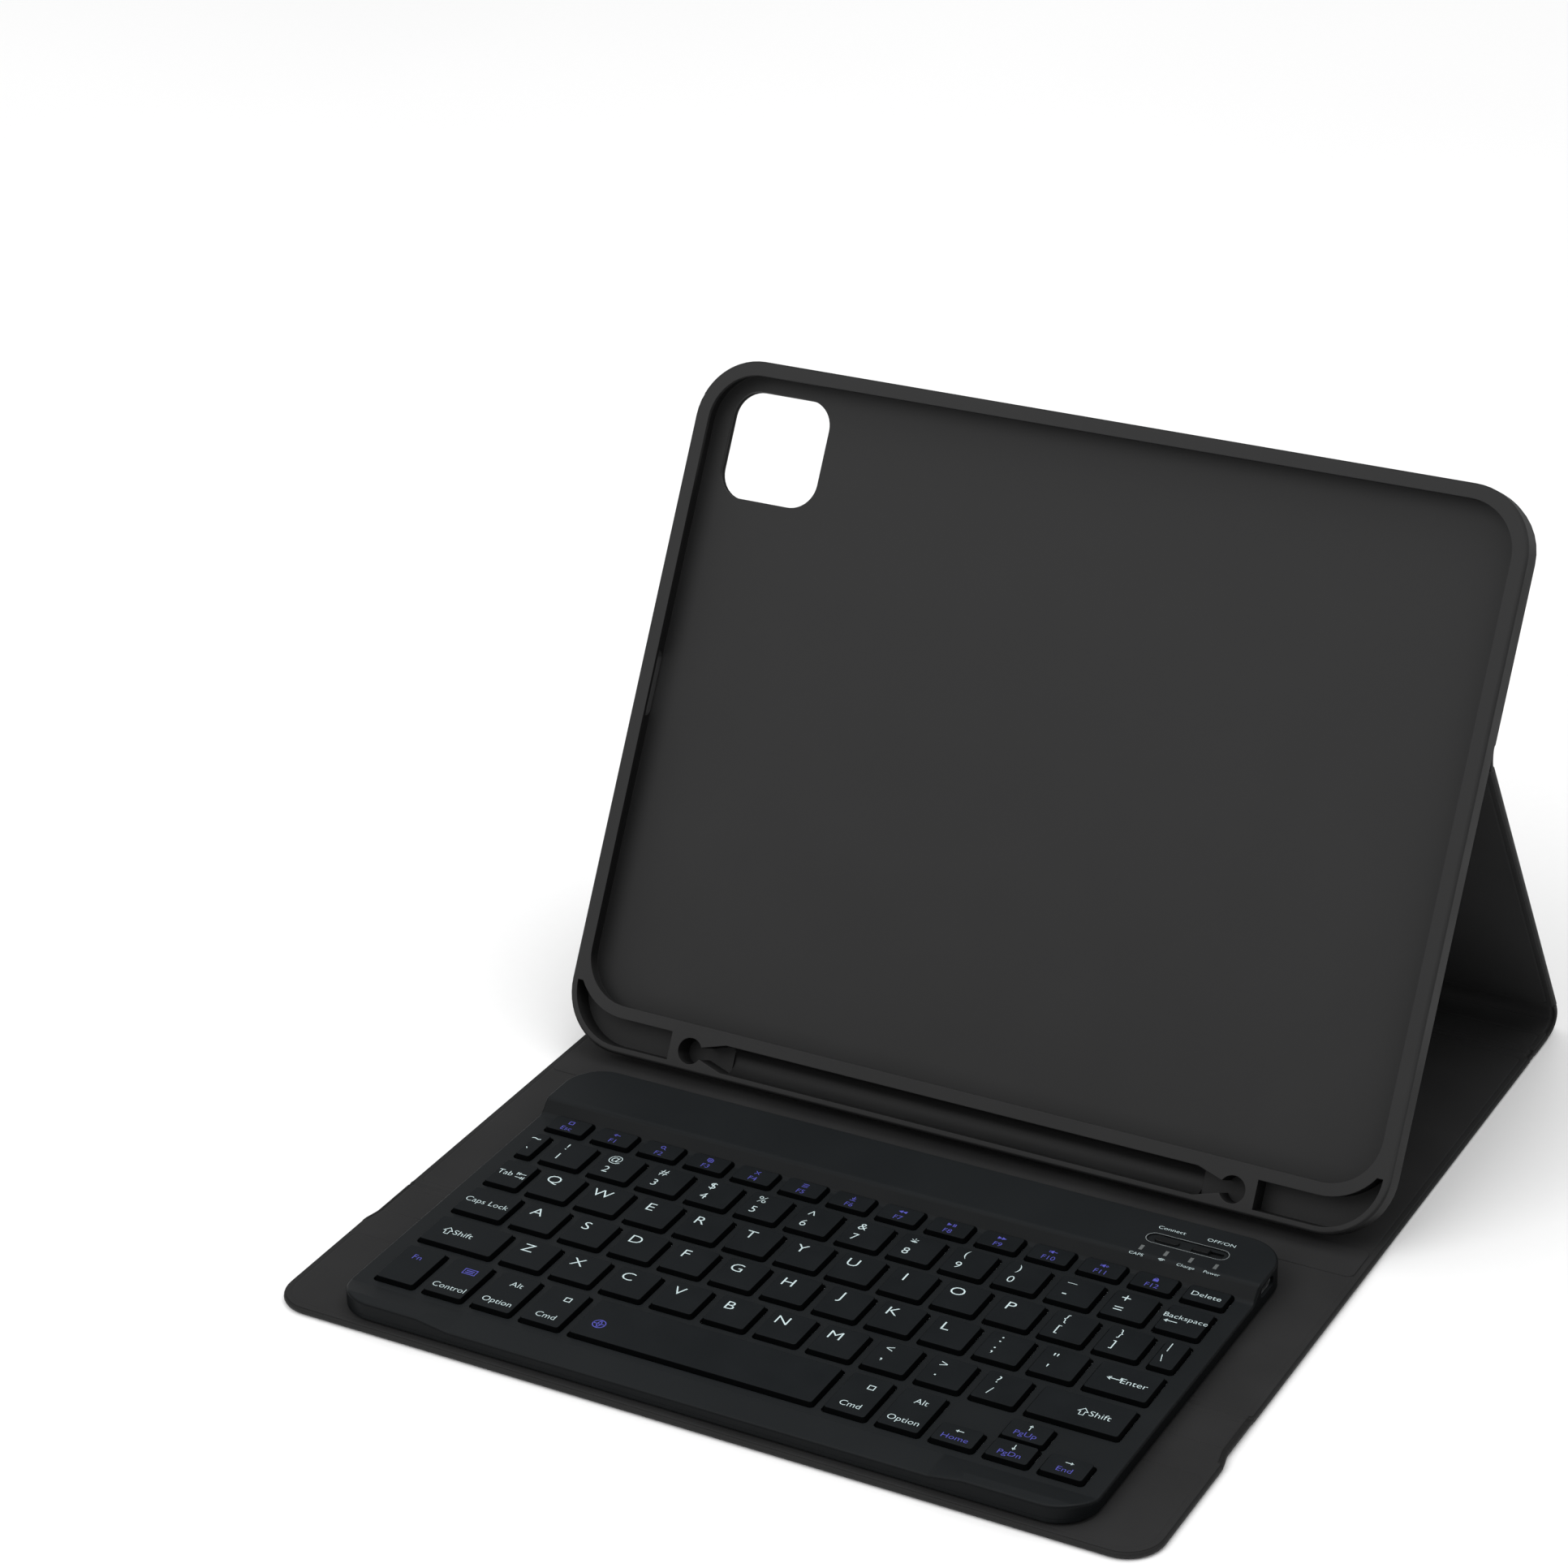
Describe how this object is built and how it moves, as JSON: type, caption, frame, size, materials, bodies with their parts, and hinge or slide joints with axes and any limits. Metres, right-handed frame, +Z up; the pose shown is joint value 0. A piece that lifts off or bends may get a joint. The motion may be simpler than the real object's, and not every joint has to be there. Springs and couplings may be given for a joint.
{
  "type": "tablet keyboard case",
  "caption": "Folio case with a leaning tablet tray, stylus groove, fold-flat stand, wrap-over closing flap and a lift-off wireless keyboard.",
  "frame": {"origin": "centre of the flat base's underside", "axes": "+X to the user's right, +Y towards the back, +Z up"},
  "size_m": [0.2884, 0.3315, 0.2101],
  "materials": {
    "outer_leather": "fine-grained soft matt synthetic leather",
    "lining": "smooth matt microfibre lining",
    "board": "pressed fibre board, hidden",
    "magnet": "nickel-plated magnet, hidden",
    "adhesive": "clear double-sided adhesive film, hidden",
    "tray_rubber": "soft matt moulded TPU",
    "keyboard_plastic": "satin moulded ABS",
    "keycap_plastic": "fine matt moulded ABS with printed marks",
    "control_plastic": "satin moulded ABS",
    "light_pipe": "clear moulded light pipe",
    "silicone": "translucent silicone",
    "steel": "stamped steel sheet",
    "film": "printed polyester film",
    "scissor_plastic": "natural moulded POM",
    "circuit": "green solder mask",
    "battery_foil": "foil pouch",
    "foot_rubber": "matt rubber"
  },
  "bodies": {
    "front_cover": {"front_cover_leather": "outer_leather", "front_cover_board": "board", "front_cover_lining": "lining", "keyboard_holding_magnets": "magnet"},
    "flap_spine": {"flap_spine_leather": "outer_leather", "flap_spine_lining": "lining"},
    "closing_flap": {"closing_flap_leather": "outer_leather", "closing_flap_board": "board", "closing_flap_lining": "lining", "closing_flap_magnets": "magnet"},
    "back_spine": {"back_spine_leather": "outer_leather", "back_spine_board": "board", "back_spine_lining": "lining"},
    "stand_crease": {"stand_crease": "outer_leather"},
    "stand_panel": {"stand_panel_leather": "outer_leather", "stand_panel_board": "board", "stand_panel_lining": "lining"},
    "tray": {"upper_panel_leather": "outer_leather", "upper_panel_board": "board", "upper_panel_lining": "lining", "upper_panel_magnets": "magnet", "tray_adhesive": "adhesive", "tablet_tray": "tray_rubber"},
    "keyboard": {"keyboard_top_case": "keyboard_plastic", "keyboard_bottom_case": "keyboard_plastic", "keyboard_feet": "foot_rubber", "key_support_plate": "steel", "circuit_membrane": "film", "rubber_dome_sheet": "silicone", "scissor_links": "scissor_plastic", "battery": "battery_foil", "control_board": "circuit", "charging_socket": "steel", "indicator_lights": "light_pipe", "keyboard_holding_plates": "steel", "case_screws": "steel"},
    "power_switch": {"power_switch_knob": "control_plastic"},
    "connect_button": {"connect_button": "control_plastic"},
    "space_key": {"space_key": "keycap_plastic"},
    "fn_key": {"fn_key": "keycap_plastic"},
    "left_modifier_keys": {"left_modifier_keys": "keycap_plastic"},
    "right_modifier_keys": {"right_modifier_keys": "keycap_plastic"},
    "home_key": {"home_key": "keycap_plastic"},
    "page_up_key": {"page_up_key": "keycap_plastic"},
    "page_down_key": {"page_down_key": "keycap_plastic"},
    "end_key": {"end_key": "keycap_plastic"},
    "left_shift_key": {"left_shift_key": "keycap_plastic"},
    "lower_letter_keys": {"lower_letter_keys": "keycap_plastic"},
    "right_shift_key": {"right_shift_key": "keycap_plastic"},
    "caps_lock_key": {"caps_lock_key": "keycap_plastic"},
    "middle_letter_keys": {"middle_letter_keys": "keycap_plastic"},
    "enter_key": {"enter_key": "keycap_plastic"},
    "tab_key": {"tab_key": "keycap_plastic"},
    "upper_letter_keys": {"upper_letter_keys": "keycap_plastic"},
    "number_row_keys": {"number_row_keys": "keycap_plastic"},
    "backspace_key": {"backspace_key": "keycap_plastic"},
    "esc_key": {"esc_key": "keycap_plastic"},
    "function_keys": {"function_keys": "keycap_plastic"},
    "delete_key": {"delete_key": "keycap_plastic"}
  },
  "joints": [
    {"name": "spine_fold", "type": "hinge", "parent": "front_cover", "child": "back_spine", "pos_m": [0, 0.1435, 0], "axis": [1, 0, 0], "range_deg": [-90, 0]},
    {"name": "cover_open", "type": "hinge", "parent": "back_spine", "child": "stand_crease", "pos_m": [0, 0.1625, 0.0024], "axis": [-1, 0, 0], "range_deg": [0, 60]},
    {"name": "stand_hinge", "type": "hinge", "parent": "stand_crease", "child": "stand_panel", "pos_m": [0, 0.166, 0.00846], "axis": [-1, 0, 0], "range_deg": [0, 62.86]},
    {"name": "stand_fold", "type": "hinge", "parent": "stand_panel", "child": "tray", "pos_m": [0, 0.08755, 0.13433], "axis": [1, 0, 0], "range_deg": [0, 61.86]},
    {"name": "flap_spine_fold", "type": "hinge", "parent": "front_cover", "child": "flap_spine", "pos_m": [0, -0.0885, 0], "axis": [-1, 0, 0], "range_deg": [-90, 0]},
    {"name": "flap_fold", "type": "hinge", "parent": "flap_spine", "child": "closing_flap", "pos_m": [0, -0.1085, 0], "axis": [-1, 0, 0], "range_deg": [-90, 0]},
    {"name": "keyboard_lift", "type": "slide", "parent": "front_cover", "child": "keyboard", "axis": [0, 0, 1], "range_m": [0, 0.08]},
    {"name": "switch_slide", "type": "slide", "parent": "keyboard", "child": "power_switch", "axis": [1, 0, 0], "range_m": [0, 0.004]},
    {"name": "travel_connect_button", "type": "slide", "parent": "keyboard", "child": "connect_button", "axis": [0, 0, -1], "range_m": [0, 0.0006], "stiffness_N_per_m": 800},
    {"name": "travel_space_key", "type": "slide", "parent": "keyboard", "child": "space_key", "axis": [0, 0, -1], "range_m": [0, 0.0015], "stiffness_N_per_m": 400},
    {"name": "travel_fn_key", "type": "slide", "parent": "keyboard", "child": "fn_key", "axis": [0, 0, -1], "range_m": [0, 0.0015], "stiffness_N_per_m": 400},
    {"name": "travel_left_modifier_keys", "type": "slide", "parent": "keyboard", "child": "left_modifier_keys", "axis": [0, 0, -1], "range_m": [0, 0.0015], "stiffness_N_per_m": 1200},
    {"name": "travel_right_modifier_keys", "type": "slide", "parent": "keyboard", "child": "right_modifier_keys", "axis": [0, 0, -1], "range_m": [0, 0.0015], "stiffness_N_per_m": 800},
    {"name": "travel_home_key", "type": "slide", "parent": "keyboard", "child": "home_key", "axis": [0, 0, -1], "range_m": [0, 0.0015], "stiffness_N_per_m": 400},
    {"name": "travel_page_up_key", "type": "slide", "parent": "keyboard", "child": "page_up_key", "axis": [0, 0, -1], "range_m": [0, 0.0015], "stiffness_N_per_m": 400},
    {"name": "travel_page_down_key", "type": "slide", "parent": "keyboard", "child": "page_down_key", "axis": [0, 0, -1], "range_m": [0, 0.0015], "stiffness_N_per_m": 400},
    {"name": "travel_end_key", "type": "slide", "parent": "keyboard", "child": "end_key", "axis": [0, 0, -1], "range_m": [0, 0.0015], "stiffness_N_per_m": 400},
    {"name": "travel_left_shift_key", "type": "slide", "parent": "keyboard", "child": "left_shift_key", "axis": [0, 0, -1], "range_m": [0, 0.0015], "stiffness_N_per_m": 400},
    {"name": "travel_lower_letter_keys", "type": "slide", "parent": "keyboard", "child": "lower_letter_keys", "axis": [0, 0, -1], "range_m": [0, 0.0015], "stiffness_N_per_m": 4000},
    {"name": "travel_right_shift_key", "type": "slide", "parent": "keyboard", "child": "right_shift_key", "axis": [0, 0, -1], "range_m": [0, 0.0015], "stiffness_N_per_m": 400},
    {"name": "travel_caps_lock_key", "type": "slide", "parent": "keyboard", "child": "caps_lock_key", "axis": [0, 0, -1], "range_m": [0, 0.0015], "stiffness_N_per_m": 400},
    {"name": "travel_middle_letter_keys", "type": "slide", "parent": "keyboard", "child": "middle_letter_keys", "axis": [0, 0, -1], "range_m": [0, 0.0015], "stiffness_N_per_m": 4400},
    {"name": "travel_enter_key", "type": "slide", "parent": "keyboard", "child": "enter_key", "axis": [0, 0, -1], "range_m": [0, 0.0015], "stiffness_N_per_m": 400},
    {"name": "travel_tab_key", "type": "slide", "parent": "keyboard", "child": "tab_key", "axis": [0, 0, -1], "range_m": [0, 0.0015], "stiffness_N_per_m": 400},
    {"name": "travel_upper_letter_keys", "type": "slide", "parent": "keyboard", "child": "upper_letter_keys", "axis": [0, 0, -1], "range_m": [0, 0.0015], "stiffness_N_per_m": 5200},
    {"name": "travel_number_row_keys", "type": "slide", "parent": "keyboard", "child": "number_row_keys", "axis": [0, 0, -1], "range_m": [0, 0.0015], "stiffness_N_per_m": 5200},
    {"name": "travel_backspace_key", "type": "slide", "parent": "keyboard", "child": "backspace_key", "axis": [0, 0, -1], "range_m": [0, 0.0015], "stiffness_N_per_m": 400},
    {"name": "travel_esc_key", "type": "slide", "parent": "keyboard", "child": "esc_key", "axis": [0, 0, -1], "range_m": [0, 0.0015], "stiffness_N_per_m": 400},
    {"name": "travel_function_keys", "type": "slide", "parent": "keyboard", "child": "function_keys", "axis": [0, 0, -1], "range_m": [0, 0.0015], "stiffness_N_per_m": 4800},
    {"name": "travel_delete_key", "type": "slide", "parent": "keyboard", "child": "delete_key", "axis": [0, 0, -1], "range_m": [0, 0.0015], "stiffness_N_per_m": 400}
  ],
  "couplings": [
    {"joint": "stand_hinge", "follows": "stand_fold", "ratio": 1.0162}
  ]
}
